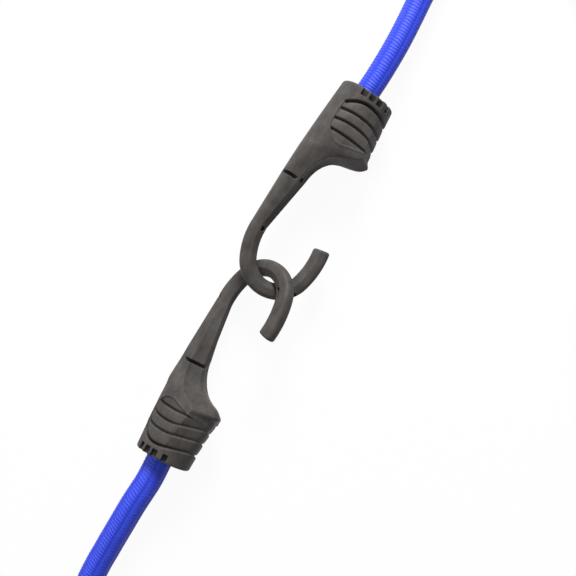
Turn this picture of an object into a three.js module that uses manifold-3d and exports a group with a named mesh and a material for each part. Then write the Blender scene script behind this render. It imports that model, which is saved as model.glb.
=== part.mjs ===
// A bungee cord: one braided elastic cord with a moulded hook on each end, the two hooks linked in one another.
// Millimetres. The cord lies on a table: X runs right, Y runs up the table and Z is up.
import * as THREE from 'three';
import { mergeVertices } from 'three/addons/utils/BufferGeometryUtils.js';
import Module from 'manifold-3d';

const wasm = await Module();
wasm.setup();

// The cord
const cordDiameter = 9.5;
const braidWall = 0.9;
const cordSides = 10;

// Clearance kept between pieces that touch on the real cord
const fit = 0.3;

// The hook's bar and its bend, in the hook's own frame: X to the cord, Y from shank to tip, Z through the bar
const barHeight = 6.1;
const barWidth = 5.1;
const bendRadius = 11.45;
const shankOffset = 13.4;
const shankTurn = THREE.MathUtils.degToRad(30);
const armRadius = 31.5;
const armStart = THREE.MathUtils.degToRad(104);
const armEnd = THREE.MathUtils.degToRad(77.3);
const chamferDepth = 2.4;
const ridgeWidth = 2.2;
const endRounding = 0.6;

// The grip: how far each place is from the bend's centre, along the hook
const neckReach = 27.9;
const noseReach = 45.4;
const ribsReach = 48.4;
const rimReach = 67.9;

// The grip: its sizes across
const spineOffset = 16.5;
const spineBow = 0.6;
const neckHeight = 9.2;
const neckWidth = 10.6;
const noseHeight = 25.8;
const noseWidth = 18.6;
const gripChamferDepth = 3.3;
const ribsHeight = 24.3;
const ribsWidth = 18;
const collarDiameter = 21.2;
const rimRounding = 0.9;

// Finger grooves, wider under the collar
const grooveDepth = 0.9;
const grooveNoseShare = 0.5;
const grooveWidth = 2.4;
const collarGrooveWidth = 3.4;
const groovePitch = 4.1;
const firstGroove = 61.3;
const grooveCount = 4;
const grooveSpineAngle = THREE.MathUtils.degToRad(116);

// Slots round the rim, as angles from each flat side of the grip towards the nose
const slotWidth = 2;
const slotLength = 3;
const slotDepth = 1.4;
const slotAngles = [-17.5, 1.5, 20, 43].map(THREE.MathUtils.degToRad);

// The cord's seat in the grip
const cordOffset = 7;
const pocketDepth = 21.4;
const endStop = 1.2;
const ferruleWall = 0.8;
const ferruleLength = 9;
const ferruleWaist = 0.15;
const waistShares = [0.3, 0.7];
const lockDiameter = 15;
const lockLength = 4.4;
const lockSleeve = 5;

// The steel core in the bar
const coreDiameter = 3.6;
const coreCover = 4;
const coreCrank = 3.4;
const crankReach = 38.2;
const crankStartShare = 0.25;
const coreSides = 10;
const coreSteps = 36;

// Marks that the mould's pins and blades leave in the bar
const pinHole = 1.3;
const kerfWidth = 1.2;
const kerfDepth = 3;
const spineKerfReach = 27.7;
const innerKerfReach = 31.6;
const neckPinReach = 28.3;
const bendPinReach = 6;
const tipPinAngle = THREE.MathUtils.degToRad(55);
const pinSides = 8;

// One overrun serves every cut
const overrun = 1;

// Where the two hooks lie: the bend's centre, and the way the cord leaves
const upperHook = { x: 5.22, y: 5.61, z: 12.6, heading: 56.6, roll: 190, pitch: 2.74 };
const lowerHook = { x: -2.24, y: -7.92, z: 13, heading: -117, roll: 38.5, pitch: -2.28 };

// The free cord's route from the upper hook's rim to the lower one's, as places with their lift off the table.
// It leaves each rim straight, sinks to the table and lies in one loop.
const cordLead = 9;
const cordRoute = [
  [48.2, 84.4, 4.9], [52.7, 93, 3.6], [57.3, 102.4, 2], [62.2, 111.9, 0.8], [69.9, 121.9, 0.1],
  [79.7, 128.1, 0], [91.2, 129.6, 0], [103.4, 126.3, 0], [113.4, 118.8, 0], [119.9, 108, 0],
  [121.9, 96.7, 0], [121.9, 60.8, 0], [121.9, 20.8, 0], [121.9, -19.2, 0], [121.9, -59.2, 0], [121.9, -111.2, 0],
  [119, -125.7, 0], [110.8, -138.1, 0], [98.4, -146.3, 0], [84.3, -149.2, 0],
  [55.3, -149.2, 0], [24.3, -149.2, 0], [-7.7, -149.2, 0], [-38.3, -149.2, 0],
  [-49, -147.1, 0], [-58.1, -141, 0], [-64.2, -131.9, 0], [-66.3, -121.2, 0.1],
  [-65.3, -114, 0.5], [-62.3, -107.5, 1.3], [-57.7, -99.5, 3], [-52.6, -90.9, 5], [-47.8, -82.9, 6.5],
];

// Where the free cord's stretches begin and end, along its length
const stretchShares = [0, 0.49, 0.64, 0.9, 1];
const stretchNames = ['cord_upper_leg', 'cord_bight', 'cord_lower_leg', 'cord_lower_lead'];
const stretchSteps = [22, 7, 12, 5];

// How fine the surfaces are: points in a quarter of a section, stations along the bar, sides of round pieces
const quarterSteps = 6;
const armSteps = 3;
const bendSteps = 12;
const sweepSteps = 3;
const roundSides = 24;

// Points closer than this are one point.
const mergeReach = 1e-4;

// Closed solids

function solidOf(geometry) {
  const bare = geometry.clone();
  bare.deleteAttribute('normal');
  bare.deleteAttribute('uv');
  const merged = mergeVertices(bare, mergeReach);
  return new wasm.Manifold(new wasm.Mesh({
    numProp: 3,
    vertProperties: merged.attributes.position.array,
    triVerts: new Uint32Array(merged.index.array),
  }));
}

function geometryOf(solid) {
  const mesh = solid.getMesh();
  const geometry = new THREE.BufferGeometry();
  geometry.setAttribute('position', new THREE.BufferAttribute(mesh.vertProperties, 3));
  geometry.setIndex(new THREE.BufferAttribute(mesh.triVerts, 1));
  geometry.computeVertexNormals();
  return geometry;
}

// Skins rings of points, all of one count, and closes both ends with flat fans.
function loft(rings) {
  const count = rings[0].length;
  const positions = rings.flat().flatMap((point) => point.toArray());
  const faces = [];
  for (let ring = 0; ring < rings.length - 1; ring += 1) {
    for (let i = 0; i < count; i += 1) {
      const a = ring * count + i;
      const b = ring * count + ((i + 1) % count);
      faces.push(a, a + count, b, b, a + count, b + count);
    }
  }
  for (const [ring, flip] of [[0, true], [rings.length - 1, false]]) {
    const centre = new THREE.Vector3();
    rings[ring].forEach((point) => centre.addScaledVector(point, 1 / count));
    const hub = positions.push(...centre.toArray()) / 3 - 1;
    for (let i = 0; i < count; i += 1) {
      const a = ring * count + i;
      const b = ring * count + ((i + 1) % count);
      faces.push(hub, flip ? a : b, flip ? b : a);
    }
  }
  const geometry = new THREE.BufferGeometry();
  geometry.setAttribute('position', new THREE.Float32BufferAttribute(positions, 3));
  geometry.setIndex(faces);
  return geometry;
}

function circle(radius, sides) {
  const turn = (2 * Math.PI) / sides;
  const points = [];
  for (let i = 0; i < sides; i += 1) {
    const angle = (i + 0.5) * turn;
    points.push(new THREE.Vector2(radius * Math.cos(angle), radius * Math.sin(angle)));
  }
  return points;
}

// A round bar or, with a bore, a hose along a curve
function tube(path, radius, bore, sides, steps) {
  const shape = new THREE.Shape(circle(radius, sides));
  if (bore > 0) shape.holes.push(new THREE.Path(circle(bore, sides)));
  return new THREE.ExtrudeGeometry(shape, { extrudePath: path, steps, curveSegments: 1 });
}

// A solid of revolution about the cord's axis in the grip, from [reach, radius] pairs
function turned(profile) {
  const points = profile.map(([reach, radius]) => new THREE.Vector2(radius, reach));
  return new THREE.LatheGeometry(points, roundSides).rotateZ(-Math.PI / 2).translate(0, -cordOffset, 0);
}

// The bar's centre line, from the tip round the bend to the grip: a place and the way it heads

const sweepRadius = (shankOffset - bendRadius * Math.cos(shankTurn)) / (1 - Math.cos(shankTurn));
const shankReach = (sweepRadius - bendRadius) * Math.sin(shankTurn);

// The arm with the tip is part of a wider circle than the bend, and goes on from it.
function armStation(angle) {
  const joined = new THREE.Vector2(Math.cos(armStart), Math.sin(armStart));
  const centre = new THREE.Vector2(Math.cos(angle), Math.sin(angle)).multiplyScalar(armRadius);
  return {
    centre: centre.addScaledVector(joined, bendRadius - armRadius),
    heading: angle + Math.PI / 2,
  };
}

function barStations() {
  const stations = [];
  const bendTurn = 1.5 * Math.PI - shankTurn - armStart;
  for (let i = 0; i <= bendSteps; i += 1) {
    const angle = armStart + (bendTurn * i) / bendSteps;
    stations.push({
      centre: new THREE.Vector2(bendRadius * Math.cos(angle), bendRadius * Math.sin(angle)),
      heading: angle + Math.PI / 2,
    });
  }
  for (let i = 1; i <= sweepSteps; i += 1) {
    const left = shankTurn * (1 - i / sweepSteps);
    stations.push({
      centre: new THREE.Vector2(
        shankReach - sweepRadius * Math.sin(left),
        -shankOffset + sweepRadius * (1 - Math.cos(left)),
      ),
      heading: 2 * Math.PI - left,
    });
  }
  return stations;
}

// One quarter of a section runs from the widest place of a side to the middle of the spine or of the inner face

// The spine's quarter goes from a round one to a fuller one, as the roof's share grows.
const fullnessShare = 0.65;

// The flat side's share of the inner quarter's points
const flatSideShare = 1 / 3;

function spineQuarter(step, outer, halfWidth, roofShare) {
  const angle = (step / quarterSteps) * (Math.PI / 2);
  const power = mix(1, fullnessShare, roofShare);
  return new THREE.Vector2(-outer * Math.sin(angle) ** power, halfWidth * Math.cos(angle) ** power);
}

// The inner quarter goes from a round one to a flat side, a chamfer and a ridge, as the roof's share grows.
function innerQuarter(step, inner, halfWidth, roofShare, chamfer) {
  const along = step / quarterSteps;
  const angle = along * (Math.PI / 2);
  const round = new THREE.Vector2(inner * Math.sin(angle), halfWidth * Math.cos(angle));
  const eaves = inner - chamfer;
  const roof = new THREE.Vector2(inner, 0);
  if (along <= flatSideShare) {
    roof.set((eaves * along) / flatSideShare, halfWidth);
  } else if (step < quarterSteps) {
    const down = (along - flatSideShare) / (1 - 1 / quarterSteps - flatSideShare);
    roof.set(mix(eaves, inner, down), mix(halfWidth, ridgeWidth / 2, down));
  }
  return round.lerp(roof, roofShare);
}

// A ring of points in the hook's frame, at one station of the moulding
function sectionRing(station) {
  const { centre, heading, outer, inner, halfWidth, roofShare, shrink = 0 } = station;
  const { groove = 0, noseShare = 1, chamfer = chamferDepth } = station;
  const half = [];
  for (let step = quarterSteps; step > 0; step -= 1) {
    half.push(spineQuarter(step, outer - shrink, halfWidth - shrink, roofShare));
  }
  for (let step = 0; step <= quarterSteps; step += 1) {
    half.push(innerQuarter(step, inner - shrink, halfWidth - shrink, roofShare, chamfer));
  }
  const other = half.slice(1, -1).reverse().map((point) => new THREE.Vector2(point.x, -point.y));
  const across = new THREE.Vector2(-Math.sin(heading), Math.cos(heading));
  return [...half, ...other].map((point) => {
    const fromNose = Math.abs(Math.atan2(point.y, point.x));
    const depth = groove * mix(noseShare, 1, Math.sin(fromNose) ** 2);
    const cut = fromNose < grooveSpineAngle ? depth : 0;
    const kept = point.clone().setLength(point.length() - cut);
    const place = centre.clone().addScaledVector(across, kept.x);
    return new THREE.Vector3(place.x, place.y, kept.y);
  });
}

// The grip's profile. The tables hold shares: of the way along, of the rise or fall, of the change in width.

const neckToNoseShares = [
  [0, 0, 0],
  [0.17, 0.02, 0.07],
  [0.34, 0.06, 0.2],
  [0.5, 0.135, 0.38],
  [0.58, 0.195, 0.48],
  [0.67, 0.285, 0.6],
  [0.755, 0.455, 0.73],
  [0.795, 0.6, 0.79],
  [0.835, 0.75, 0.85],
  [0.875, 0.86, 0.91],
  [0.92, 0.93, 0.96],
  [1, 1, 1],
];

// How far the nose's section goes from a round one to one with flat sides
const noseRoofShare = 0.65;

function mix(from, to, share) {
  return from + (to - from) * share;
}

// The spine bows out between the bend and the rim.
function spineAt(reach) {
  return spineOffset + spineBow * Math.sin((Math.PI * (reach - shankReach)) / (rimReach - shankReach));
}

function gripStation(reach, height, width, axisOffset, more) {
  return {
    centre: new THREE.Vector2(reach, -axisOffset),
    heading: 2 * Math.PI,
    outer: spineAt(reach) - axisOffset,
    inner: height - spineAt(reach) + axisOffset,
    halfWidth: width / 2,
    chamfer: gripChamferDepth,
    ...more,
  };
}

// Where the grip is widest moves from the middle of the neck to the middle of the collar.
const neckAxis = spineAt(neckReach) - neckHeight / 2;
const collarAxis = spineOffset - collarDiameter / 2;

// The ribbed part tapers to the collar and turns round.
function ribbedStation(reach, more) {
  const share = (reach - ribsReach) / (rimReach - ribsReach);
  const height = mix(ribsHeight, collarDiameter, share);
  const width = mix(ribsWidth, collarDiameter, share * share);
  return gripStation(reach, height, width, collarAxis, { roofShare: noseRoofShare * (1 - share), ...more });
}

// Shares of a groove's width and depth, across it
const grooveShares = [[-0.5, 0], [-0.12, 1], [0.12, 1], [0.5, 0]];

function gripStations() {
  const stations = [];
  for (const [along, rise, widening] of neckToNoseShares) {
    stations.push(gripStation(
      mix(neckReach, noseReach, along),
      mix(neckHeight, noseHeight, rise),
      mix(neckWidth, noseWidth, widening),
      mix(neckAxis, collarAxis, rise),
      { roofShare: mix(1, noseRoofShare, rise) },
    ));
  }
  for (let i = grooveCount - 1; i >= 0; i -= 1) {
    const last = i === 0;
    const width = last ? collarGrooveWidth : grooveWidth;
    for (const [across, depth] of grooveShares) {
      const reach = firstGroove - i * groovePitch + across * width;
      const noseShare = last ? 0 : grooveNoseShare;
      stations.push(ribbedStation(reach, { groove: depth * grooveDepth, noseShare }));
    }
  }
  stations.push(ribbedStation(rimReach - rimRounding), ribbedStation(rimReach, { shrink: rimRounding }));
  return stations;
}

function hookBody() {
  const bar = { outer: barHeight / 2, inner: barHeight / 2, halfWidth: barWidth / 2, roofShare: 1 };
  const arm = [];
  for (let i = 0; i < armSteps; i += 1) {
    arm.push(armStation(mix(armEnd + endRounding / armRadius, armStart, i / armSteps)));
  }
  const stations = [
    { ...bar, ...armStation(armEnd), shrink: endRounding },
    ...[...arm, ...barStations()].map((station) => ({ ...bar, ...station })),
    ...gripStations(),
  ];
  return loft(stations.map(sectionRing));
}

// The steel core follows the bar, and cranks towards the cord's seat at its end.
function corePath(tipExtra, gripExtra) {
  const pocketFloor = rimReach - pocketDepth;
  const points = [
    armStation(armEnd + (coreCover - tipExtra) / armRadius).centre,
    ...barStations().map((station) => station.centre),
    new THREE.Vector2((shankReach + neckReach) / 2, -shankOffset),
    new THREE.Vector2(neckReach, -shankOffset),
    new THREE.Vector2(crankReach, -shankOffset + coreCrank * crankStartShare),
    new THREE.Vector2(pocketFloor - coreDiameter, -shankOffset + coreCrank),
    new THREE.Vector2(pocketFloor + gripExtra, -shankOffset + coreCrank),
  ];
  return new THREE.CatmullRomCurve3(points.map((point) => new THREE.Vector3(point.x, point.y, 0)));
}

function steelCore() {
  return tube(corePath(0, -endStop), coreDiameter / 2, 0, coreSides, coreSteps);
}

// Cuts in the moulding

const cordRadius = cordDiameter / 2;
const pocketRadius = cordRadius + fit + ferruleWall + fit;

function cordSeat() {
  const floor = rimReach - pocketDepth;
  const step = rimReach - lockLength - fit;
  return turned([
    [floor, 0],
    [floor, pocketRadius],
    [step, pocketRadius],
    [step, lockDiameter / 2 + fit],
    [rimReach + overrun, lockDiameter / 2 + fit],
    [rimReach + overrun, 0],
  ]);
}

function coreChannel() {
  return tube(corePath(fit, overrun), coreDiameter / 2 + fit, 0, coreSides, coreSteps);
}

function rimSlots() {
  const radius = collarDiameter / 2;
  const depth = slotDepth + overrun;
  const slots = [];
  for (const side of [1, -1]) {
    for (const angle of slotAngles) {
      slots.push(
        new THREE.BoxGeometry(slotLength + overrun, slotWidth, depth)
          .translate(rimReach + (overrun - slotLength) / 2, 0, radius - slotDepth + depth / 2)
          .rotateX(side > 0 ? -angle : Math.PI + angle)
          .translate(0, -collarAxis, 0),
      );
    }
  }
  return slots;
}

// A blade's mark across one corner of the bar, in the direction (across, through) from its centre line
function kerf(reach, axisOffset, across, through) {
  const size = barHeight + neckHeight;
  const toCorner = Math.atan2(through, across);
  return new THREE.BoxGeometry(kerfWidth, size, size)
    .translate(0, neckHeight / 2 - kerfDepth / 2 + size / 2, 0)
    .rotateX(toCorner)
    .translate(reach, -axisOffset, 0);
}

// A pin's mark that goes down to the steel core from one side of the bar
function pinMark(place, heading, across, through) {
  const toSide = Math.atan2(through, across);
  return new THREE.CylinderGeometry(pinHole / 2, pinHole / 2, neckHeight, pinSides)
    .translate(0, coreDiameter / 2 + neckHeight / 2, 0)
    .rotateX(toSide)
    .rotateZ(heading)
    .translate(place.x, place.y, 0);
}

function mouldMarks() {
  const onShank = (reach) => new THREE.Vector2(reach, -shankOffset);
  const onBend = new THREE.Vector2(-Math.cos(tipPinAngle), Math.sin(tipPinAngle)).multiplyScalar(bendRadius);
  const marks = [
    kerf(spineKerfReach, neckAxis, -1, -1),
    kerf(innerKerfReach, neckAxis, 1, 1),
  ];
  for (const side of [1, -1]) {
    marks.push(pinMark(onShank(neckPinReach), 0, -side, side));
    marks.push(pinMark(onShank(bendPinReach), 0, -side, side));
    marks.push(pinMark(onBend, Math.PI / 2 - tipPinAngle, -side, side));
  }
  return marks;
}

function hookMoulding() {
  let body = solidOf(hookBody());
  for (const cut of [cordSeat(), coreChannel(), ...rimSlots(), ...mouldMarks()]) {
    body = body.subtract(solidOf(cut));
  }
  return geometryOf(body);
}

// The other pieces of a hook

// A stepped bush pressed into the rim, round the cord
function lockingCollar() {
  const bore = cordRadius + fit;
  const sleeve = pocketRadius - fit;
  const step = rimReach - lockLength;
  return turned([
    [step - lockSleeve, bore],
    [step - lockSleeve, sleeve],
    [step, sleeve],
    [step, lockDiameter / 2],
    [rimReach, lockDiameter / 2],
    [rimReach, bore],
    [step - lockSleeve, bore],
  ]);
}

// A steel ring crimped on the cord's end, drawn in at its waist
function crimpFerrule() {
  const bore = cordRadius + fit;
  const outside = pocketRadius - fit;
  const top = rimReach - lockLength - lockSleeve - fit;
  const bottom = top - ferruleLength;
  const waist = waistShares.map((share) => [mix(bottom, top, share), outside - ferruleWaist]);
  return turned([
    [bottom, bore],
    [bottom, outside],
    ...waist,
    [top, outside],
    [top, bore],
    [bottom, bore],
  ]);
}

const rubberRadius = cordRadius - braidWall - fit;

function cordEnd(radius, bore) {
  const from = new THREE.Vector3(rimReach - pocketDepth + endStop, -cordOffset, 0);
  const to = new THREE.Vector3(rimReach - fit / 2, -cordOffset, 0);
  return tube(new THREE.LineCurve3(from, to), radius, bore, cordSides, 1);
}

// Materials

const plastic = new THREE.MeshStandardMaterial({ color: 0x3a3532, roughness: 0.55, metalness: 0 });
const insertPlastic = new THREE.MeshStandardMaterial({ color: 0x2c2927, roughness: 0.6, metalness: 0 });
const steel = new THREE.MeshStandardMaterial({ color: 0x9a9a98, roughness: 0.35, metalness: 1 });
const braid = new THREE.MeshStandardMaterial({ color: 0x2f3fe0, roughness: 0.8, metalness: 0 });
const rubber = new THREE.MeshStandardMaterial({ color: 0xb9a583, roughness: 0.85, metalness: 0 });

function piece(name, geometry, material) {
  const mesh = new THREE.Mesh(geometry, material);
  mesh.name = name;
  return mesh;
}

// A hook turns about its own length, tips, and then turns to its heading on the table.
function hook(prefix, place) {
  const group = new THREE.Group();
  group.applyMatrix4(placeOf(place));
  group.add(
    piece(`${prefix}_moulding`, hookMoulding(), plastic),
    piece(`${prefix}_steel_core`, steelCore(), steel),
    piece(`${prefix}_locking_collar`, lockingCollar(), insertPlastic),
    piece(`${prefix}_crimp_ferrule`, crimpFerrule(), steel),
    piece(`${prefix}_cord_end_jacket`, cordEnd(cordRadius, cordRadius - braidWall), braid),
    piece(`${prefix}_cord_end_rubber`, cordEnd(rubberRadius, 0), rubber),
  );
  return group;
}

// The free cord

function placeOf(place) {
  const turn = new THREE.Euler(...[place.roll, place.pitch, place.heading].map(THREE.MathUtils.degToRad), 'ZYX');
  return new THREE.Matrix4().makeRotationFromEuler(turn).setPosition(place.x, place.y, place.z);
}

// A place on the cord's axis beyond a hook's rim
function beyondRim(place, reach) {
  return new THREE.Vector3(rimReach + reach, -cordOffset, 0).applyMatrix4(placeOf(place));
}

function freeCordRoute() {
  // A flat of the faceted cord lies on the table.
  const rest = cordRadius * Math.cos(Math.PI / cordSides);
  return new THREE.CatmullRomCurve3([
    beyondRim(upperHook, fit / 2),
    beyondRim(upperHook, cordLead),
    ...cordRoute.map(([x, y, lift]) => new THREE.Vector3(x, y, rest + lift)),
    beyondRim(lowerHook, cordLead),
    beyondRim(lowerHook, fit / 2),
  ]);
}

// Part of a route, between two shares of its length
class Stretch extends THREE.Curve {
  constructor(route, from, to) {
    super();
    Object.assign(this, { route, from, to });
  }

  getPoint(share, target = new THREE.Vector3()) {
    return this.route.getPointAt(mix(this.from, this.to, share), target);
  }
}

// Each stretch is laid from its end on the table, so that its flats lie on the table.
function freeCord() {
  const route = freeCordRoute();
  const gapShare = fit / 2 / route.getLength();
  const last = stretchNames.length - 1;
  return stretchNames.flatMap((name, i) => {
    const from = stretchShares[i] + (i > 0 ? gapShare : 0);
    const to = stretchShares[i + 1] - (i < last ? gapShare : 0);
    const path = i > 0 ? new Stretch(route, from, to) : new Stretch(route, to, from);
    return [
      piece(`${name}_jacket`, tube(path, cordRadius, cordRadius - braidWall, cordSides, stretchSteps[i]), braid),
      piece(`${name}_rubber`, tube(path, rubberRadius, 0, cordSides, stretchSteps[i]), rubber),
    ];
  });
}

const bungeeCord = new THREE.Group();
bungeeCord.add(hook('upper_hook', upperHook), hook('lower_hook', lowerHook), ...freeCord());

export default bungeeCord;
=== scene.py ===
"""A bungee cord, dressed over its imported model: two linked hooks and the braided cord between them.

Lengths are in millimetres and turn into metres where a mesh is made. The hooks are built in a frame of their
own, with its origin in the middle of the bend: X to the cord, Y from shank to tip, Z through the bar.
"""
import math

import bpy
import numpy as np
from mathutils import Matrix, Vector


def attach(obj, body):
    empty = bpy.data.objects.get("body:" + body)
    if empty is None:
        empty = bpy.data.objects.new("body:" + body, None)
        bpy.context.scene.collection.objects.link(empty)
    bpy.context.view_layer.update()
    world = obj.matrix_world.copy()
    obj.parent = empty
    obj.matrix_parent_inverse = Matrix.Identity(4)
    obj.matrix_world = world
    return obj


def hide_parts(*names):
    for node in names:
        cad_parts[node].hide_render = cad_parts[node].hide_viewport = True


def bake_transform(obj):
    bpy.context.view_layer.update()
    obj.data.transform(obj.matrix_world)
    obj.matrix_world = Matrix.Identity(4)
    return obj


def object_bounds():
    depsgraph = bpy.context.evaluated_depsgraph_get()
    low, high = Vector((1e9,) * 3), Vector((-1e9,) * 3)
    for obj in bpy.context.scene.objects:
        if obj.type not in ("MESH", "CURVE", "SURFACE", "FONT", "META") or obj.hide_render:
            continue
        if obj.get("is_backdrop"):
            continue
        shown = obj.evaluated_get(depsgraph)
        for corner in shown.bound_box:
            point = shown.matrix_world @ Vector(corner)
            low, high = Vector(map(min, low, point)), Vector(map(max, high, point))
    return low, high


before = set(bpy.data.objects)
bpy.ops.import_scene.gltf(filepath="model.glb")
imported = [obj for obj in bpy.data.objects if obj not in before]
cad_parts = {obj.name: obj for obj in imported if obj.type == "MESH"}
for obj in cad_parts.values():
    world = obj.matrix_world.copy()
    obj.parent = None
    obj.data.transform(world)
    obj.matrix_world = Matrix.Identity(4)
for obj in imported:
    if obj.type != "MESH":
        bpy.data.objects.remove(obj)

MM = 0.001
scene = bpy.context.scene
cad_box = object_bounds()


# The camera looks straight down.

IMAGE_WIDTH = 576
FOCAL_PIXELS = 1167
SENSOR = 36
CAMERA_PLACE = (0.008475, -0.00443, 0.4369)

camera = bpy.data.objects.new("camera", bpy.data.cameras.new("camera"))
camera.data.sensor_width = SENSOR
camera.data.lens = SENSOR * FOCAL_PIXELS / IMAGE_WIDTH
camera.data.clip_start = 0.01
camera.location = CAMERA_PLACE
scene.collection.objects.link(camera)
scene.camera = camera


# Sizes that the dressed pieces share with the model

UPPER_HOOK = dict(place=(5.22, 5.61, 12.6), roll=190, pitch=2.74, heading=56.6)
LOWER_HOOK = dict(place=(-2.24, -7.92, 13), roll=38.5, pitch=-2.28, heading=-117)
CORD_RADIUS = 4.75
FIT = 0.3
RIM = 67.9
CORD_OFFSET = 7
CORD_END = 47.7
CORD_LEAD = 9

# The model's cord has ten sides and rests on one of them.
CORD_FLATS = 10
CORD_REST = CORD_RADIUS * math.cos(math.pi / CORD_FLATS)


def hook_matrix(hook):
    turns = [Matrix.Rotation(math.radians(hook[name]), 4, axis)
             for name, axis in (("heading", "Z"), ("pitch", "Y"), ("roll", "X"))]
    return Matrix.Translation(hook["place"]) @ turns[0] @ turns[1] @ turns[2]


def mix(a, b, share):
    return a + (b - a) * share


def smoothstep(low, high, value):
    share = np.clip((value - low) / (high - low), 0, 1)
    return share * share * (3 - 2 * share)


def link(name, mesh):
    piece = bpy.data.objects.new(name, mesh)
    scene.collection.objects.link(piece)
    return piece


def mesh_of(name, points, faces, smooth=True):
    """A mesh from points in millimetres."""
    mesh = bpy.data.meshes.new(name)
    mesh.from_pydata((np.asarray(points, float) * MM).tolist(), [], faces)
    if smooth:
        mesh.shade_smooth()
    return mesh


def tube_faces(rings, sides):
    """Quads round a stack of rings, and both end faces."""
    ring = np.arange(rings - 1)[:, None] * sides
    a = ring + np.arange(sides)
    b = ring + (np.arange(sides) + 1) % sides
    quads = np.stack([a, b, b + sides, a + sides], -1).reshape(-1, 4).tolist()
    last = (rings - 1) * sides
    return quads + [list(range(sides))[::-1], list(range(last, last + sides))]


# The cord's route, in millimetres: the places between the rims, with their lift off the table

CORD_ROUTE = [
    (48.2, 84.4, 4.9), (52.7, 93, 3.6), (57.3, 102.4, 2), (62.2, 111.9, 0.8), (69.9, 121.9, 0.1),
    (79.7, 128.1, 0), (91.2, 129.6, 0), (103.4, 126.3, 0), (113.4, 118.8, 0), (119.9, 108, 0),
    (121.9, 96.7, 0), (121.9, 60.8, 0), (121.9, 20.8, 0), (121.9, -19.2, 0), (121.9, -59.2, 0),
    (121.9, -111.2, 0),
    (119, -125.7, 0), (110.8, -138.1, 0), (98.4, -146.3, 0), (84.3, -149.2, 0),
    (55.3, -149.2, 0), (24.3, -149.2, 0), (-7.7, -149.2, 0), (-38.3, -149.2, 0),
    (-49, -147.1, 0), (-58.1, -141, 0), (-64.2, -131.9, 0), (-66.3, -121.2, 0.1),
    (-65.3, -114, 0.5), (-62.3, -107.5, 1.3), (-57.7, -99.5, 3), (-52.6, -90.9, 5), (-47.8, -82.9, 6.5),
]
LEAD_LENGTH = 62
ROUTE_STEPS = 40
LIFT_REACH = 60

# The braid: rows of slanting floats in columns round the cord. A pair holds the values at the upper hook and
# at the lower one.

BRAID_RADII = (4.66, 4.93)
COLUMNS = 6
COLUMN_TURNS = (math.radians(2), math.radians(26))
COLUMN_DEPTHS = np.array((0.28, 1, 0.9, 1, 0.6, 0.1))
FLOAT_ANGLES = (math.radians(86), math.radians(77))
FLOAT_BOW = 0.6
LEAST_FLOAT = 0.7
ROW_PITCHES = (1.16, 1.2)
ROW_DRIFT = 0.2
ROW_DEPTH = 0.24
ROW_FULLNESS = 0.6
SEAM_DEPTH = 0.09
# The painted shade where a column's rows lie flat
FLAT_COLUMN_SHADE = 0.45
RING_STEP = 0.24
SIDES = 72


def in_grip(hook, reach):
    """A place on the cord's axis, at that reach from the bend's centre."""
    return np.array(hook_matrix(hook) @ Vector((reach, -CORD_OFFSET, 0)))


def catmull_rom(points, steps):
    """The centripetal curve through the points, with that many steps from each to the next."""
    points = np.array([2 * points[0] - points[1], *points, 2 * points[-1] - points[-2]])
    share = (np.arange(steps) / steps)[:, None]
    curve = []
    for p0, p1, p2, p3 in zip(points, points[1:], points[2:], points[3:]):
        d0, d1, d2 = (max(np.linalg.norm(b - a), 1e-6) ** 0.5 for a, b in ((p0, p1), (p1, p2), (p2, p3)))
        out = ((p1 - p0) / d0 - (p2 - p0) / (d0 + d1) + (p2 - p1) / d1) * d1
        into = ((p2 - p1) / d1 - (p3 - p1) / (d1 + d2) + (p3 - p2) / d2) * d1
        curve.append(p1 + out * share + (-3 * p1 + 3 * p2 - 2 * out - into) * share**2
                     + (2 * p1 - 2 * p2 + out + into) * share**3)
    return np.concatenate([*curve, points[-2:-1]])


def lengths_of(points):
    """How far along its line each point is."""
    return np.concatenate([[0], np.cumsum(np.linalg.norm(np.diff(points, axis=0), axis=1))])


def cord_line():
    """Points along the whole cord, from its end in the upper grip to its end in the lower one."""
    route = [in_grip(UPPER_HOOK, RIM + FIT / 2), in_grip(UPPER_HOOK, RIM + CORD_LEAD)]
    route += [np.array((x, y, CORD_REST + lift)) for x, y, lift in CORD_ROUTE]
    route += [in_grip(LOWER_HOOK, RIM + CORD_LEAD), in_grip(LOWER_HOOK, RIM + FIT / 2)]
    free = catmull_rom(route, ROUTE_STEPS)
    points = np.concatenate([[in_grip(UPPER_HOOK, CORD_END)], free, [in_grip(LOWER_HOOK, CORD_END)]])
    along = lengths_of(points)
    rings = round(along[-1] / RING_STEP)
    place = np.linspace(0, along[-1], rings + 1)
    line = np.stack([np.interp(place, along, points[:, axis]) for axis in range(3)], -1)
    # Away from the rims the braid is lifted until it rests on the table.
    inside = RIM - CORD_END + FIT / 2
    off_rims = smoothstep(0, LIFT_REACH, np.minimum(place, place[-1] - place) - inside)
    line[:, 2] += (mix(*BRAID_RADII, place / place[-1]) - CORD_REST) * off_rims
    return line, place


def chance(row, column):
    """A number from 0 to 1 for each float, the same in each run."""
    scattered = np.sin(row * 12.9898 + column * 78.233) * 43758.5453
    return scattered - np.floor(scattered)


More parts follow.
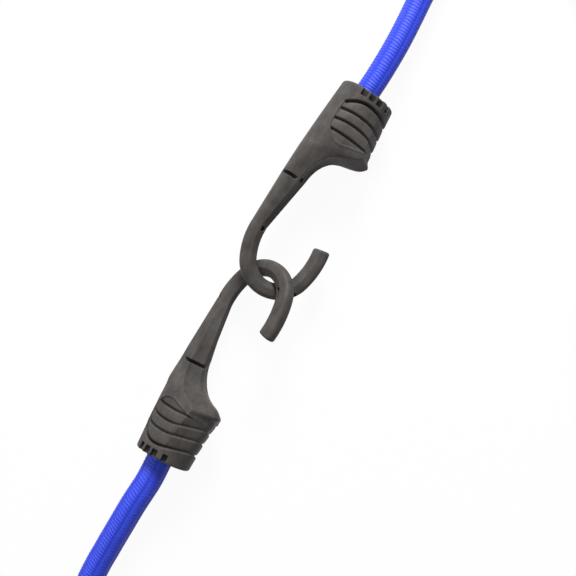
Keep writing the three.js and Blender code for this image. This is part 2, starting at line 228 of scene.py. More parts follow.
def braid(place, angle, share):
    """How far the surface is from the axis, how much painted shade the yarn gets, and where each point is in
    it.
    """
    radius = mix(*BRAID_RADII, share)
    pitch = mix(*ROW_PITCHES, share)
    column = (angle - mix(*COLUMN_TURNS, share)) / (2 * math.pi) * COLUMNS
    index = np.floor(column)
    across = column - index - 0.5
    index = index % COLUMNS
    odd = index % 2
    width = 2 * math.pi * radius / COLUMNS
    bowed = across * width * (1 + FLOAT_BOW * across**2)
    lean = (1 - 2 * odd) * bowed / np.tan(mix(*FLOAT_ANGLES, share))
    # Two waves of different length along the cord, so that no two rows are quite alike
    drift = ROW_DRIFT * np.sin(place / 1.7 + 1.7 * index + 2 * across) * np.sin(place / 4.3 + 3 * across)
    row = (place + lean) / pitch + odd / 2 + drift
    crest = np.maximum(0.5 - 0.5 * np.cos(2 * math.pi * row), 0) ** ROW_FULLNESS
    seam = 1 - np.abs(2 * across) ** 3
    luck = chance(np.floor(row), index)
    deep = COLUMN_DEPTHS[index.astype(int)]
    height = (ROW_DEPTH * mix(1, crest * mix(LEAST_FLOAT, 1, luck), deep) + SEAM_DEPTH) * seam
    distance = radius - ROW_DEPTH - SEAM_DEPTH + height
    # Painted shade: the yarn darkens where a float dives and in the seams between columns.
    tone = mix(FLAT_COLUMN_SHADE, crest * seam, deep)
    return distance, tone, np.stack([row * pitch, across * width, luck], -1)


def braided_cord(name, line, place, whole):
    """A stretch of the cord as a closed mesh, with the yarn's painted shade and places stored on its points.
    """
    ahead = np.gradient(line, axis=0)
    ahead /= np.linalg.norm(ahead, axis=1)[:, None]
    side = np.cross(ahead, (0, 0, 1))
    side /= np.linalg.norm(side, axis=1)[:, None]
    up = np.cross(side, ahead)
    angle = (np.arange(SIDES) / SIDES * 2 * math.pi)[None, :] + np.zeros((len(line), 1))
    distance, tone, yarn = braid(place[:, None], angle, (place / whole)[:, None])
    points = (line[:, None] + (np.cos(angle) * distance)[..., None] * side[:, None]
              + (np.sin(angle) * distance)[..., None] * up[:, None])
    mesh = mesh_of(name, points.reshape(-1, 3), tube_faces(len(line), SIDES))
    tones = mesh.attributes.new("yarn_shade", "FLOAT", "POINT")
    tones.data.foreach_set("value", tone.astype(np.float32).ravel())
    places = mesh.attributes.new("yarn_place", "FLOAT_VECTOR", "POINT")
    places.data.foreach_set("vector", yarn.astype(np.float32).ravel())
    return link(name, mesh)


cord_axis, along_cord = cord_line()
junction = int(np.searchsorted(along_cord, along_cord[-1] - (RIM - CORD_END) - LEAD_LENGTH))
main_cord = braided_cord("cord_main", cord_axis[:junction + 1], along_cord[:junction + 1], along_cord[-1])
lead_cord = braided_cord("cord_lead", cord_axis[junction:], along_cord[junction:], along_cord[-1])


def both_layers(*stretches):
    return [f"{stretch}_{layer}" for stretch in stretches for layer in ("jacket", "rubber")]


LEAD_START = 2

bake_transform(main_cord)
in_grip(LOWER_HOOK, RIM + LEAD_START) * MM
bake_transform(lead_cord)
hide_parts(*both_layers("upper_hook_cord_end", "cord_upper_leg", "cord_bight", "cord_lower_leg"))
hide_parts(*both_layers("lower_hook_cord_end", "cord_lower_lead"))
for cord, path, hook in (
    (main_cord, cord_axis[:junction + 1], UPPER_HOOK),
    (lead_cord, cord_axis[:junction - 1:-1], LOWER_HOOK),
):
    in_grip(hook, RIM) * MM
    lengths_of(path)[-1] * MM


# The hook's shape

BAR_HEIGHT = 6.1
BAR_WIDTH = 5.1
BEND_RADIUS = 11.45
SHANK_OFFSET = 13.4
SHANK_TURN = math.radians(30)
ARM_RADIUS = 31.5
ARM_START = math.radians(104)
ARM_END = math.radians(77.3)
BEND_END = 1.5 * math.pi - SHANK_TURN
CHAMFER = 2.4
GRIP_CHAMFER = 3
RIDGE_WIDTH = 2.2
END_ROUNDING = 0.9
RIM_ROUNDING = 0.9
NECK = 27.9
NOSE = 45.4
RIBS = 48.4
SPINE_OFFSET = 16.5
SPINE_BOW = 0.6
NECK_HEIGHT = 9.2
NECK_WIDTH = 10.6
NOSE_HEIGHT = 25.8
NOSE_WIDTH = 18.6
RIBS_HEIGHT = 24.3
COLLAR_DIAMETER = 21.2
COLLAR_EDGE = 63.7
NOSE_ROOF_SHARE = 0.65
REST_HOLLOW = 0.45
FULLNESS = 0.65
QUARTER = 24
ROUND_RINGS = 7

# The ribbed window in the grip's sides. A groove has its peak and the sweep of its arch, and its ends sag to
# the nose and to the spine.

WINDOW_MIDDLE = 5
WINDOW_CORNER = 52.5
WINDOW_ROUND = 6.4
WINDOW_RISE = 0.28
WINDOW_DEPTH = 0.2
WINDOW_WALL = 0.3
LIP_HEIGHT = 0.22
LIP_WIDTH = 0.28
RIB_GROOVES = ((49.5, 0.9), (54.1, 2.5), (58.1, 2.1))
GROOVE_DEPTH = 1.15
GROOVE_WALL = 0.28
TOP_GROOVE_DEPTH = 1.6
TOP_GROOVE_PLACE = 0.45
TOP_SAG_TO_NOSE = 0.02
TOP_SAG_TO_SPINE = 0.045
ARCH_TO_NOSE = 130
ARCH_TO_SPINE = 220
NOSE_GROOVE_SHARE = 0.45

SWEEP_RADIUS = (SHANK_OFFSET - BEND_RADIUS * math.cos(SHANK_TURN)) / (1 - math.cos(SHANK_TURN))
SHANK_REACH = (SWEEP_RADIUS - BEND_RADIUS) * math.sin(SHANK_TURN)
COLLAR_AXIS = SPINE_OFFSET - COLLAR_DIAMETER / 2

# Shares of the way from neck to nose, of the rise to its height, and of the widening
NECK_TO_NOSE = np.array([
    (0, 0, 0), (0.17, 0.02, 0.07), (0.34, 0.06, 0.2), (0.5, 0.135, 0.38), (0.58, 0.195, 0.48),
    (0.67, 0.285, 0.6), (0.755, 0.455, 0.73), (0.795, 0.6, 0.79), (0.835, 0.75, 0.85), (0.875, 0.86, 0.91),
    (0.92, 0.93, 0.96), (1, 1, 1),
])


def through(table, at):
    """A smooth curve through a table's columns that never overshoots them."""
    x, y = table[:, 0], table[:, 1:]
    slopes = np.diff(y, axis=0) / np.diff(x)[:, None]
    tangents = np.zeros_like(y)
    tangents[0], tangents[-1] = slopes[0], slopes[-1]
    product = slopes[1:] * slopes[:-1]
    total = slopes[1:] + slopes[:-1]
    tangents[1:-1] = np.where(product > 0, 2 * product / np.where(total == 0, 1, total), 0)
    i = int(np.clip(np.searchsorted(x, at) - 1, 0, len(x) - 2))
    step = x[i + 1] - x[i]
    t = (at - x[i]) / step
    return ((2 * t**3 - 3 * t**2 + 1) * y[i] + (t**3 - 2 * t**2 + t) * step * tangents[i]
            + (3 * t**2 - 2 * t**3) * y[i + 1] + (t**3 - t**2) * step * tangents[i + 1])


def spine_at(reach):
    """How far the spine is from the middle of the bend."""
    return SPINE_OFFSET + SPINE_BOW * math.sin(math.pi * (reach - SHANK_REACH) / (RIM - SHANK_REACH))


def section(height_out, height_in, half_width, roof, chamfer=CHAMFER, hollow=0):
    """An outline of places (towards the inner side, through the bar), from the spine round and back."""
    share = np.arange(QUARTER + 1) / QUARTER
    angle = share * math.pi / 2
    power = mix(1, FULLNESS, roof)
    spine = np.stack([-height_out * np.sin(angle) ** power, half_width * np.cos(angle) ** power], -1)
    round_in = np.stack([height_in * np.sin(angle), half_width * np.cos(angle)], -1)
    eaves = height_in - chamfer
    flat = 1 / 3
    ridge = 1 - 1 / 6
    down = np.clip((share - flat) / (ridge - flat), 0, 1)
    last = np.clip((share - ridge) / (1 - ridge), 0, 1)
    run = half_width - RIDGE_WIDTH / 2
    slope = np.array((run, chamfer)) / math.hypot(run, chamfer)
    dip = hollow * np.sin(math.pi * down)
    roofed = np.stack([
        np.where(share <= flat, eaves * share / flat, mix(eaves, height_in, down)) - dip * slope[0],
        np.where(share <= flat, half_width, mix(half_width, RIDGE_WIDTH / 2, down)) - last * RIDGE_WIDTH / 2
        - dip * slope[1],
    ], -1)
    inner = mix(round_in, roofed, roof)
    half = np.concatenate([spine[:0:-1], inner])
    other = half[-2:0:-1] * (1, -1)
    return np.concatenate([half, other])


def rib_cut(points):
    """How deep the ribbed window lies under the smooth shell, for points on it in the hook's frame."""
    reach, y, z = points.T
    from_nose = np.arctan2(np.abs(z), y + COLLAR_AXIS)
    side = np.sin(np.minimum(from_nose, math.pi / 2)) ** 2
    beside = y + WINDOW_MIDDLE
    by_nose = beside > 0
    # The window has a round corner by the spine, and its lower edge rises to the nose.
    lower_edge = WINDOW_CORNER + WINDOW_RISE * np.maximum(beside + 1, 0)
    inside = WINDOW_ROUND - np.hypot(np.maximum(-2 - beside, 0), np.maximum(lower_edge - reach, 0))
    top = COLLAR_EDGE - np.where(by_nose, TOP_SAG_TO_NOSE, TOP_SAG_TO_SPINE) * beside**2
    window = smoothstep(0, WINDOW_WALL, inside) * smoothstep(top + 0.1, top - 0.15, reach)
    lip = LIP_HEIGHT * np.exp(-((inside + WINDOW_WALL) / LIP_WIDTH) ** 2) * side
    grooves = [(top - TOP_GROOVE_PLACE, TOP_GROOVE_DEPTH)]
    for peak, sweep in RIB_GROOVES:
        arch = sweep / np.where(by_nose, ARCH_TO_NOSE, ARCH_TO_SPINE) * beside**2
        grooves.append((peak - arch, GROOVE_DEPTH))
    cut = WINDOW_DEPTH * side
    for middle, deep in grooves:
        over = np.maximum(reach - middle, 0)
        under = np.maximum(middle - reach, 0)
        # A steep wall on the rim's side, and a slope that eases out on the hook's side
        wall = np.exp(-(over / GROOVE_WALL) ** 2)
        slope = 0.55 * np.exp(-(under / 0.5) ** 2) + 0.45 * np.exp(-under / 1.5)
        cut = cut + deep * wall * slope * mix(NOSE_GROOVE_SHARE, 1, side)
    return window * cut - lip * smoothstep(top - 0.5, top - 3, reach)


def inner_edge(reach):
    """Where the grip's inner side lies, from the bar along the finger rest and the nose to the rim."""
    if reach < NECK:
        share = max(reach - SHANK_REACH, 0) / (NECK - SHANK_REACH)
        return mix(BAR_HEIGHT / 2 - SHANK_OFFSET, NECK_HEIGHT - spine_at(NECK), share)
    if reach < NOSE:
        rise = through(NECK_TO_NOSE, (reach - NECK) / (NOSE - NECK))[0]
        return mix(NECK_HEIGHT, NOSE_HEIGHT, rise) - spine_at(reach)
    ribbed = mix(RIBS_HEIGHT, COLLAR_DIAMETER, (reach - RIBS) / (RIM - RIBS))
    return mix(NOSE_HEIGHT, ribbed, smoothstep(NOSE, RIBS - 0.6, reach)) - spine_at(reach)


def grip_chamfers():
    """The chamfer's depth along the grip: as wide all along the finger rest, and eased round the nose."""
    step = 0.1
    eased_over = 25
    reaches = np.arange(NECK - 6, RIM, step)
    edges = np.array([inner_edge(reach) for reach in reaches])
    steps = round(GRIP_CHAMFER / step) - 1
    rounds = np.sqrt(GRIP_CHAMFER**2 - (np.arange(-steps, steps + 1) * step) ** 2)
    padded = np.pad(edges, steps, mode="edge")
    eaves = np.min([padded[i:i + len(edges)] - drop for i, drop in enumerate(rounds)], axis=0)
    padded = np.pad(eaves, eased_over // 2, mode="edge")
    return reaches, edges - np.convolve(padded, np.full(eased_over, 1 / eased_over), "valid")


CHAMFERS = grip_chamfers()


def grip_outline(reach):
    """The outline at a reach between the neck and the rim, about an axis, and that axis's offset."""
    if reach < NOSE:
        rise, widening = through(NECK_TO_NOSE, (reach - NECK) / (NOSE - NECK))
        width = mix(NECK_WIDTH, NOSE_WIDTH, widening)
        neck_axis = spine_at(NECK) - NECK_HEIGHT / 2
        axis = mix(neck_axis, COLLAR_AXIS, rise)
        roof = mix(1, NOSE_ROOF_SHARE, rise)
    else:
        share = (reach - RIBS) / (RIM - RIBS)
        width = mix(NOSE_WIDTH, COLLAR_DIAMETER, (reach - NOSE) / (RIM - NOSE))
        axis = COLLAR_AXIS
        roof = NOSE_ROOF_SHARE * (1 - max(share, 0))
    hollow = REST_HOLLOW * smoothstep(NECK - 4, NECK + 5, reach)
    chamfer = np.interp(reach, *CHAMFERS)
    return section(spine_at(reach) - axis, inner_edge(reach) + axis, width / 2, roof, chamfer, hollow), axis


def arm_at(angle):
    """A place on the centre line of the arm with the tip, which is part of a wider circle than the bend."""
    wider = ARM_RADIUS - BEND_RADIUS
    return np.array((ARM_RADIUS * math.cos(angle) - wider * math.cos(ARM_START),
                     ARM_RADIUS * math.sin(angle) - wider * math.sin(ARM_START)))


def bend_at(angle):
    """A place on the centre line of the bend."""
    return BEND_RADIUS * np.array((math.cos(angle), math.sin(angle)))


def sweep_at(left):
    """A place on the centre line between bend and shank, where that much of its turn is left."""
    return np.array((SHANK_REACH - SWEEP_RADIUS * math.sin(left),
                     SWEEP_RADIUS * (1 - math.cos(left)) - SHANK_OFFSET))


def hook_loft():
    """The moulding's outside as rings of points, from the tip to the rim."""
    rings = []

    def add(centre, heading, outline):
        across = np.array((-math.sin(heading), math.cos(heading)))
        flat = np.array(centre) + outline[:, :1] * across
        rings.append(np.column_stack([flat, outline[:, 1]]))

    bar = (BAR_HEIGHT / 2, BAR_HEIGHT / 2, BAR_WIDTH / 2, 1)
    rounded = ARM_END + END_ROUNDING / ARM_RADIUS
    for angle in np.linspace(0, math.pi / 2, ROUND_RINGS):
        shrink = END_ROUNDING * (1 - math.sin(angle))
        outline = section(*(size - shrink for size in bar[:3]), 1)
        on_arm = ARM_END + END_ROUNDING * (1 - math.cos(angle)) / ARM_RADIUS
        add(arm_at(on_arm), on_arm + math.pi / 2, outline)
    for angle in np.linspace(rounded, ARM_START, 32)[1:-1]:
        add(arm_at(angle), angle + math.pi / 2, section(*bar))
    for angle in np.linspace(ARM_START, BEND_END, 84):
        add(bend_at(angle), angle + math.pi / 2, section(*bar))
    for left in np.linspace(SHANK_TURN, 0, 24)[1:]:
        add(sweep_at(left), 2 * math.pi - left, section(*bar))
    # The shank swells evenly from the bar's section to the neck's.
    bar_ring = rings[-1]
    neck_outline, neck_axis = grip_outline(NECK)
    neck_ring = np.insert(neck_outline - (neck_axis, 0), 0, NECK, axis=1)
    for share in np.linspace(0, 1, 40)[1:-1]:
        rings.append(mix(bar_ring, neck_ring, share))
    for reach in [*np.arange(NECK, NOSE, 0.25), *np.arange(NOSE, RIM - RIM_ROUNDING, 0.18)]:
        outline, axis = grip_outline(reach)
        add((reach, -axis), 2 * math.pi, outline)
    outline, axis = grip_outline(RIM - RIM_ROUNDING)
    length = np.linalg.norm(outline, axis=1)[:, None]
    for angle in np.linspace(0, math.pi / 2, ROUND_RINGS):
        shrunk = outline * ((length - RIM_ROUNDING * (1 - math.cos(angle))) / length)
        add((RIM - RIM_ROUNDING * (1 - math.sin(angle)), -axis), 2 * math.pi, shrunk)
    return np.array(rings)


def turned(profile, sides=96):
    """Points and faces of a solid turned about the cord's axis, from its (reach, radius) outline."""
    points, faces = [], []
    for reach, radius in profile:
        angles = np.arange(sides) / sides * 2 * math.pi
        points += [(reach, -CORD_OFFSET + radius * math.cos(a), radius * math.sin(a)) for a in angles]
    count = len(profile)
    for i in range(count):
        for j in range(sides):
            a, b = i * sides, (i + 1) % count * sides
            k = (j + 1) % sides
            faces.append([a + j, b + j, b + k, a + k])
    return points, faces


def box(size, at):
    """Points and faces of a box."""
    corners = [(x, y, z) for x in (-0.5, 0.5) for y in (-0.5, 0.5) for z in (-0.5, 0.5)]
    points = np.array(corners) * size + at
    return points, [[0, 1, 3, 2], [4, 6, 7, 5], [0, 4, 5, 1], [2, 3, 7, 6], [0, 2, 6, 4], [1, 5, 7, 3]]


def rod(points, radius, sides=24):
    """Points and faces of a round rod along points in the hook's plane."""
    points = np.array(points, float)
    ahead = np.gradient(points, axis=0)
    ahead /= np.linalg.norm(ahead, axis=1)[:, None]
    side = np.stack([-ahead[:, 1], ahead[:, 0], 0 * ahead[:, 0]], -1)
    angle = np.arange(sides) / sides * 2 * math.pi
    rings = (points[:, None] + radius * np.cos(angle)[None, :, None] * side[:, None]
             + radius * np.sin(angle)[None, :, None] * np.array((0, 0, 1)))
    return rings.reshape(-1, 3), tube_faces(len(points), sides)


def moved(points, matrix):
    return np.array([matrix @ Vector(point) for point in points])


# What is cut out of the moulding. The cutters end past its surface.

OVERSHOOT = 1
ON_AXIS = 0.01
CORE_RADIUS = 1.8
CORE_CRANK = 3.4
TIP_WALL = 4
POCKET_RADIUS = CORD_RADIUS + FIT + 0.8 + FIT
POCKET_FLOOR = RIM - 21.4
LOCK_RADIUS = 7.5
LOCK_LENGTH = 4.4
LOCK_SLEEVE = 5
SLOT_LENGTH = 3
SLOT_DEPTH = 1.4
SLOT_ANGLES = (-17.5, 1.5, 20, 43)
SLOT_WIDTHS = (2.3, 2.3, 2.3, 2)
KERF_WIDTH = 1.2
KERF_DEPTH = 1.5
KERFS = ((27.7, math.radians(-135)), (31.6, math.radians(45)))
PIN_RADIUS = 0.92
PIN_CORNERS = (math.radians(135), math.radians(-45))
PIN_REACHES = (28.3, 6)
TIP_PIN = math.radians(125)


def core_line():
    """The steel core's centre line, from the tip to the seat of the cord."""
    points = [arm_at(ARM_END + (TIP_WALL - FIT) / ARM_RADIUS)]
    points += [bend_at(angle) for angle in np.linspace(ARM_START, BEND_END, 13)]
    points += [sweep_at(SHANK_TURN * (1 - share)) for share in (1 / 3, 2 / 3, 1)]
    points += [(reach, rise - SHANK_OFFSET) for reach, rise in (
        ((SHANK_REACH + NECK) / 2, 0), (NECK, 0), (38.2, CORE_CRANK / 4),
        (POCKET_FLOOR - 3.6, CORE_CRANK), (POCKET_FLOOR + 1, CORE_CRANK),
    )]
    return catmull_rom(np.array([(x, y, 0) for x, y in points]), 6)


def pocket():
    """The room for the cord's end, its crimped ring and the locking collar."""
    step = RIM - LOCK_LENGTH - FIT
    return turned([
        (POCKET_FLOOR, ON_AXIS), (POCKET_FLOOR, POCKET_RADIUS), (step, POCKET_RADIUS),
        (step, LOCK_RADIUS + FIT), (RIM + OVERSHOOT, LOCK_RADIUS + FIT), (RIM + OVERSHOOT, ON_AXIS),
    ])


def rim_slots():
    """The slots in the rim, on both sides of the grip."""
    middle = (RIM + (OVERSHOOT - SLOT_LENGTH) / 2, 0, COLLAR_DIAMETER / 2 + (OVERSHOOT - SLOT_DEPTH) / 2)
    for side in (1, -1):
        for angle, width in zip(SLOT_ANGLES, SLOT_WIDTHS):
            points, faces = box((SLOT_LENGTH + OVERSHOOT, width, SLOT_DEPTH + OVERSHOOT), middle)
            turn = Matrix.Rotation(math.radians(-angle if side > 0 else 180 + angle), 4, "X")
            yield moved(points, Matrix.Translation((0, -COLLAR_AXIS, 0)) @ turn), faces


def kerfs():
    """The narrow cuts across two opposite corners of the neck."""
    neck_axis = spine_at(NECK) - NECK_HEIGHT / 2
    size = BAR_HEIGHT + NECK_HEIGHT
    for reach, corner in KERFS:
        points, faces = box((KERF_WIDTH, size, size), (0, NECK_HEIGHT / 2 - KERF_DEPTH + size / 2, 0))
        turn = Matrix.Rotation(corner, 4, "X")
        yield moved(points, Matrix.Translation((reach, -neck_axis, 0)) @ turn), faces


def pin_holes():
    """The marks of the pins that held the steel core in the mould, on two corners of the bar."""
    pins = [((reach, -SHANK_OFFSET), 0) for reach in PIN_REACHES]
    for place, heading in (*pins, (bend_at(TIP_PIN), TIP_PIN - math.pi / 2)):
        for corner in PIN_CORNERS:
            points, faces = rod([(0, CORE_RADIUS, 0), (0, CORE_RADIUS + NECK_HEIGHT, 0)], PIN_RADIUS)
            turn = Matrix.Rotation(heading, 4, "Z") @ Matrix.Rotation(corner, 4, "X")
            yield moved(points, Matrix.Translation((*place, 0)) @ turn), faces


def cutters():
    """Everything that is cut out of the moulding: (points, faces)."""
    return [pocket(), rod(core_line(), CORE_RADIUS + FIT), *rim_slots(), *kerfs(), *pin_holes()]


VOXEL = 0.24
ON_SHELL = 0.15
IN_CUT = 0.5
# The first part of the ribs' press, which gets no painted shade
UNSHADED_PRESS = 0.45


def apply_modifier(piece, kind, **settings):
    """Adds a modifier, and puts what it makes in the mesh."""
    modifier = piece.modifiers.new(kind.lower(), kind)
    for name, value in settings.items():
        setattr(modifier, name, value)
    bpy.context.view_layer.update()
    shaped = bpy.data.meshes.new_from_object(piece.evaluated_get(bpy.context.evaluated_depsgraph_get()))
    piece.modifiers.clear()
    piece.data = shaped


def hook_mesh():
    """The moulding: the loft, cut, with softened edges and the ribbed window pressed into its sides."""
    rings = hook_loft()
    shell = link("shell", mesh_of("shell", rings.reshape(-1, 3), tube_faces(len(rings), rings.shape[1])))
    turn_outward(shell.data)
    body = link("hook_body", shell.data.copy())
    for points, faces in cutters():
        cutter = link("cutter", mesh_of("cutter", points, faces, smooth=False))
        turn_outward(cutter.data)
        apply_modifier(body, "BOOLEAN", operation="DIFFERENCE", solver="MANIFOLD", object=cutter)
        bpy.data.objects.remove(cutter)
    sharp = link("sharp", body.data.copy())
    apply_modifier(body, "REMESH", mode="VOXEL", voxel_size=VOXEL * MM)
    apply_modifier(body, "SHRINKWRAP", target=sharp, wrap_method="NEAREST_SURFACEPOINT")
    apply_modifier(body, "SMOOTH", factor=0.5, iterations=1)
    mesh = body.data
    press_ribs(mesh, shell)
    for used in (sharp, body, shell):
        bpy.data.objects.remove(used)
    mesh.shade_smooth()
    return mesh


def press_ribs(mesh, shell):
    """Sinks the ribbed window, and stores on each point how deep it lies under the smooth shell, for the
    plastic's painted shade.
    """
    points = np.array([vertex.co for vertex in mesh.vertices])
    found = [shell.closest_point_on_mesh(point) for point in points]
    nearest = np.array([hit[1] for hit in found])
    outward = np.array([hit[2] for hit in found])
    depth = np.linalg.norm(points - nearest, axis=1) / MM
    # The walls of slots, kerfs and pin marks already lie under the shell and aren't pressed again.
    cut = rib_cut(points / MM) * smoothstep(IN_CUT, ON_SHELL, depth)
    mesh.vertices.foreach_set("co", (points - outward * (cut * MM)[:, None]).astype(np.float32).ravel())
    # Painted shade: how deep each point lies, which the plastic darkens by, with the ribs' press past its
    # first part added
    depths = mesh.attributes.new("depth", "FLOAT", "POINT")
    depths.data.foreach_set("value", (depth + np.maximum(cut - UNSHADED_PRESS, 0)).astype(np.float32))


def turn_outward(mesh):
    """Flips a closed mesh that is inside out."""
    mesh.calc_loop_triangles()
    points = np.array([v.co for v in mesh.vertices])
    corners = points[np.array([t.vertices for t in mesh.loop_triangles])]
    volume = np.einsum("ij,ij->i", corners[:, 0], np.cross(corners[:, 1], corners[:, 2])).sum()
    if volume < 0:
        mesh.flip_normals()


def bush_mesh():
    """The locking collar: a stepped bush with softened edges and a flared mouth round the cord."""
    step = RIM - LOCK_LENGTH
    bore = CORD_RADIUS + FIT / 2
    outline = [
        (step - LOCK_SLEEVE, bore + 0.2), (step - LOCK_SLEEVE, POCKET_RADIUS - FIT),
        (step, POCKET_RADIUS - FIT), (step, LOCK_RADIUS - 0.3), (step + 0.3, LOCK_RADIUS),
        (RIM - 0.4, LOCK_RADIUS), (RIM - 0.12, LOCK_RADIUS - 0.12), (RIM, LOCK_RADIUS - 0.4),
        (RIM, bore + 0.9), (RIM - 0.2, bore + 0.35), (RIM - 0.9, bore), (step, bore),
    ]
    mesh = mesh_of("locking_collar", *turned(outline))
    turn_outward(mesh)
    return mesh


# Materials

SOCKETS = {"specular": "Specular IOR Level", "metallic": "Metallic"}


def material(name, colour, roughness, **settings):
    """A Principled material with its even values on the shader's own sockets."""
    made = bpy.data.materials.new(name)
    made.use_nodes = True
    shader = made.node_tree.nodes["Principled BSDF"]
    shader.inputs["Base Color"].default_value = (*colour, 1)
    shader.inputs["Roughness"].default_value = roughness
    for socket, value in settings.items():
        shader.inputs[SOCKETS[socket]].default_value = value
    return made, made.node_tree, shader


class Nodes:
    """Short calls for the nodes of one material."""

    def __init__(self, tree):
        self.tree = tree

    def new(self, kind, inputs=None, **settings):
        node = self.tree.nodes.new(kind)
        for key, value in settings.items():
            setattr(node, key, value)
        for key, value in (inputs or {}).items():
            if isinstance(value, bpy.types.NodeSocket):
                self.tree.links.new(value, node.inputs[key])
            else:
                node.inputs[key].default_value = value
        return node

    def math(self, operation, a, b=0.0, clamp=False):
        return self.new("ShaderNodeMath", {0: a, 1: b}, operation=operation, use_clamp=clamp).outputs[0]

    def spread(self, value, low, high, to_low=0.0, to_high=1.0):
        inputs = {"Value": value, "From Min": low, "From Max": high, "To Min": to_low, "To Max": to_high}
        return self.new("ShaderNodeMapRange", inputs).outputs[0]

    def noise(self, vector, scale, detail=2.0, roughness=0.5):
        inputs = {"Vector": vector, "Scale": scale, "Detail": detail, "Roughness": roughness}
        return self.new("ShaderNodeTexNoise", inputs).outputs["Fac"]

    def blend(self, factor, a, b):
        node = self.new("ShaderNodeMix", {"Factor": factor}, data_type="RGBA")
        for socket, colour in zip((node.inputs[6], node.inputs[7]), (a, b)):
            if isinstance(colour, bpy.types.NodeSocket):
                self.tree.links.new(colour, socket)
            else:
                socket.default_value = (*colour, 1)
        return node.outputs[2]

    def bump(self, height, distance, strength=1.0, normal=None):
        inputs = {"Height": height, "Distance": distance, "Strength": strength}
        if normal:
            inputs["Normal"] = normal
        return self.new("ShaderNodeBump", inputs).outputs[0]

    def wire(self, output, shader, name):
        self.tree.links.new(output, shader.inputs[name])


def moulded_plastic(name, dark, light, roughness):
    """Filled plastic: mottled, finely pitted, with the mould's parting line, and painted shade deep in a
    cut.
    """
    made, tree, shader = material(name, light, roughness, specular=0.16)
    n = Nodes(tree)
    place = n.new("ShaderNodeTexCoord").outputs["Object"]
    mottle = n.noise(place, 170, 4, 0.6)
    flow = n.noise(n.new("ShaderNodeMapping", {"Vector": place, "Scale": (0.25, 1, 1)}).outputs[0], 700, 3)
    grain = n.noise(place, 5200, 2)
    tone = n.math("ADD", n.math("MULTIPLY", mottle, 0.65), n.math("MULTIPLY", flow, 0.35))
    colour = n.blend(n.spread(tone, 0.36, 0.64), dark, light)
    across = n.math("ABSOLUTE", n.new("ShaderNodeSeparateXYZ", {"Vector": place}).outputs["Z"])
    parting = n.spread(across, 0.00004, 0.00016, 1, 0)
    colour = n.blend(n.math("MULTIPLY", parting, 0.5), colour, tuple(c * 0.45 for c in dark))
    # Painted shade: the colour darkens with the depth under the smooth shell, in grooves, slots, kerfs, pin
    # marks and the pocket.
    depth = n.new("ShaderNodeAttribute", attribute_name="depth").outputs["Fac"]
    colour = n.blend(n.spread(depth, 0.12, 0.9, 0, 0.9), colour, tuple(c * 0.12 for c in dark))
    n.wire(colour, shader, "Base Color")
    rough = n.spread(n.math("ADD", grain, mottle), 0.7, 1.3, roughness - 0.08, roughness + 0.1)
    n.wire(rough, shader, "Roughness")
    pits = n.bump(grain, 0.00003, 0.55)
    waves = n.bump(mottle, 0.0004, 0.25, pits)
    n.wire(n.bump(parting, 0.00005, 0.8, waves), shader, "Normal")
    return made


def braided_yarn(name, dark, light):
    """Bright multifilament yarn: painted shade where a float dives and in the seams between columns, a tone
    that differs at random from float to float, and fine streaks along it.
    """
    made, tree, shader = material(name, light, 0.55, specular=0.3)
    n = Nodes(tree)
    tone = n.new("ShaderNodeAttribute", attribute_name="yarn_shade").outputs["Fac"]
    yarn = n.new("ShaderNodeAttribute", attribute_name="yarn_place").outputs["Vector"]
    parts = n.new("ShaderNodeSeparateXYZ", {"Vector": yarn}).outputs
    stretched = n.new("ShaderNodeMapping", {"Vector": yarn, "Scale": (9, 1.2, 40)}).outputs[0]
    streaks = n.noise(stretched, 1.0, 2)
    # The painted shade of dives and seams, times a tone that differs at random from float to float
    depth = n.math("MULTIPLY", n.spread(tone, 0.05, 0.85), n.spread(parts["Z"], 0, 1, 0.82, 1))
    mixed = n.math("MULTIPLY", depth, n.spread(streaks, 0.3, 0.7, 0.8, 1.1), clamp=True)
    n.wire(n.blend(mixed, dark, light), shader, "Base Color")
    n.wire(n.spread(streaks, 0.3, 0.7, 0.45, 0.65), shader, "Roughness")
    n.wire(n.bump(streaks, 0.00008, 0.6), shader, "Normal")
    return made


def drawn_steel(name, dark, light):
    """Bare steel with fine lines along it."""
    made, tree, shader = material(name, light, 0.35, metallic=1)
    n = Nodes(tree)
    place = n.new("ShaderNodeTexCoord").outputs["Object"]
    lines = n.noise(n.new("ShaderNodeMapping", {"Vector": place, "Scale": (1, 12, 12)}).outputs[0], 900, 3)
    n.wire(n.spread(lines, 0.3, 0.7, 0.28, 0.48), shader, "Roughness")
    n.wire(n.blend(lines, dark, light), shader, "Base Color")
    n.wire(n.bump(lines, 0.00003, 0.4), shader, "Normal")
    return made


hook_plastic = moulded_plastic("hook_plastic", (0.042, 0.0375, 0.0345), (0.075, 0.068, 0.0635), 0.55)
bush_plastic = moulded_plastic("bush_plastic", (0.022, 0.019, 0.017), (0.040, 0.036, 0.032), 0.5)
# The yarn's first colour is its painted shade in the dives and seams, the second its colour on the crests.
blue_yarn = braided_yarn("blue_yarn", (0.014, 0.034, 0.5), (0.052, 0.092, 0.76))
annealed_wire = drawn_steel("annealed_wire", (0.03, 0.028, 0.026), (0.07, 0.066, 0.062))
bright_steel = drawn_steel("bright_steel", (0.36, 0.35, 0.33), (0.6, 0.59, 0.57))

for cord in (main_cord, lead_cord):
    cord.data.materials.append(blue_yarn)


# The hooks' pieces

moulding, bush = hook_mesh(), bush_mesh()
for mesh, plastic in ((moulding, hook_plastic), (bush, bush_plastic)):
    mesh.materials.clear()
    mesh.materials.append(plastic)


def in_metres(matrix):
    scaled = matrix.copy()
    scaled.translation = matrix.translation * MM
    return scaled


DRESSED = (("moulding", moulding, "hook_plastic"), ("locking_collar", bush, "collar_plastic"))
BARE = (("steel_core", annealed_wire), ("crimp_ferrule", bright_steel))

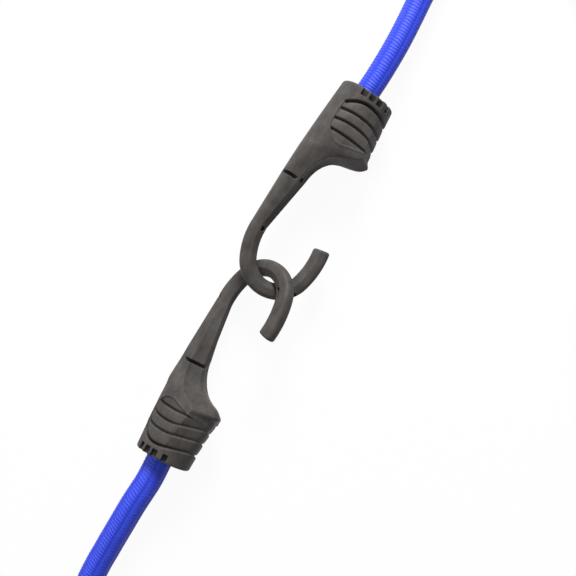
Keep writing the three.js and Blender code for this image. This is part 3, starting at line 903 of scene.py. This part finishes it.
for prefix, hook in (("upper_hook", UPPER_HOOK), ("lower_hook", LOWER_HOOK)):
    for name, mesh, slot in DRESSED:
        piece = link(f"{prefix}_{name}_dressed", mesh.copy())
        piece.matrix_world = in_metres(hook_matrix(hook))
        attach(piece, prefix)
        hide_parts(f"{prefix}_{name}")
    for name, steel in BARE:
        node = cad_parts[f"{prefix}_{name}"]
        for slot in node.material_slots:
            slot.material = steel


# The floor, the lights and the white surroundings

def white_where_seen(tree, shader_output, share, target):
    """Mixes in plain white light for camera, glossy and transmission rays."""
    n = Nodes(tree)
    rays = n.new("ShaderNodeLightPath").outputs
    seen = n.math("MAXIMUM", rays["Is Camera Ray"], rays["Is Glossy Ray"])
    seen = n.math("MAXIMUM", seen, rays["Is Transmission Ray"])
    glow = n.new("ShaderNodeEmission", {"Color": (1, 1, 1, 1), "Strength": 1.0}).outputs[0]
    mixed = n.new("ShaderNodeMixShader", {0: n.math("MULTIPLY", seen, share), 1: shader_output, 2: glow})
    tree.links.new(mixed.outputs[0], target)


FLOOR_HALF = 3000
FLOOR_WHITE = 0.95

floor_material, floor_tree, floor_shader = material("floor", (0.8, 0.8, 0.8), 0.9, specular=0)
floor_surface = floor_tree.nodes["Material Output"].inputs["Surface"]
white_where_seen(floor_tree, floor_shader.outputs[0], FLOOR_WHITE, floor_surface)
corners = [(x * FLOOR_HALF, y * FLOOR_HALF, 0) for x, y in ((-1, -1), (1, -1), (1, 1), (-1, 1))]
floor = link("floor", mesh_of("floor", corners, [[0, 1, 2, 3]], smooth=False))
floor.data.materials.append(floor_material)
floor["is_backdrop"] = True

world = bpy.data.worlds.new("world")
scene.world = world
world.use_nodes = True
sky = world.node_tree.nodes["Background"]
sky.inputs["Color"].default_value = (1, 1, 1, 1)
sky.inputs["Strength"].default_value = 0.2
world_surface = world.node_tree.nodes["World Output"].inputs["Surface"]
white_where_seen(world.node_tree, sky.outputs[0], 1, world_surface)


def soft_light(name, at, size, power):
    """A square lamp that faces the middle of the object."""
    lamp = bpy.data.lights.new(name, "AREA")
    lamp.size = size
    lamp.energy = power
    light = bpy.data.objects.new(name, lamp)
    light.location = at
    light.rotation_euler = (Vector((0, 0, 0)) - Vector(at)).to_track_quat("-Z", "Y").to_euler()
    scene.collection.objects.link(light)


soft_light("key", at=(0.1, 1.0, 0.68), size=0.4, power=23)
soft_light("fill", at=(-0.8, 0.1, 0.9), size=0.6, power=4)

scene.view_settings.view_transform = "Standard"

[[list(map(float, corner)) for corner in box_of] for box_of in (cad_box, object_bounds())]
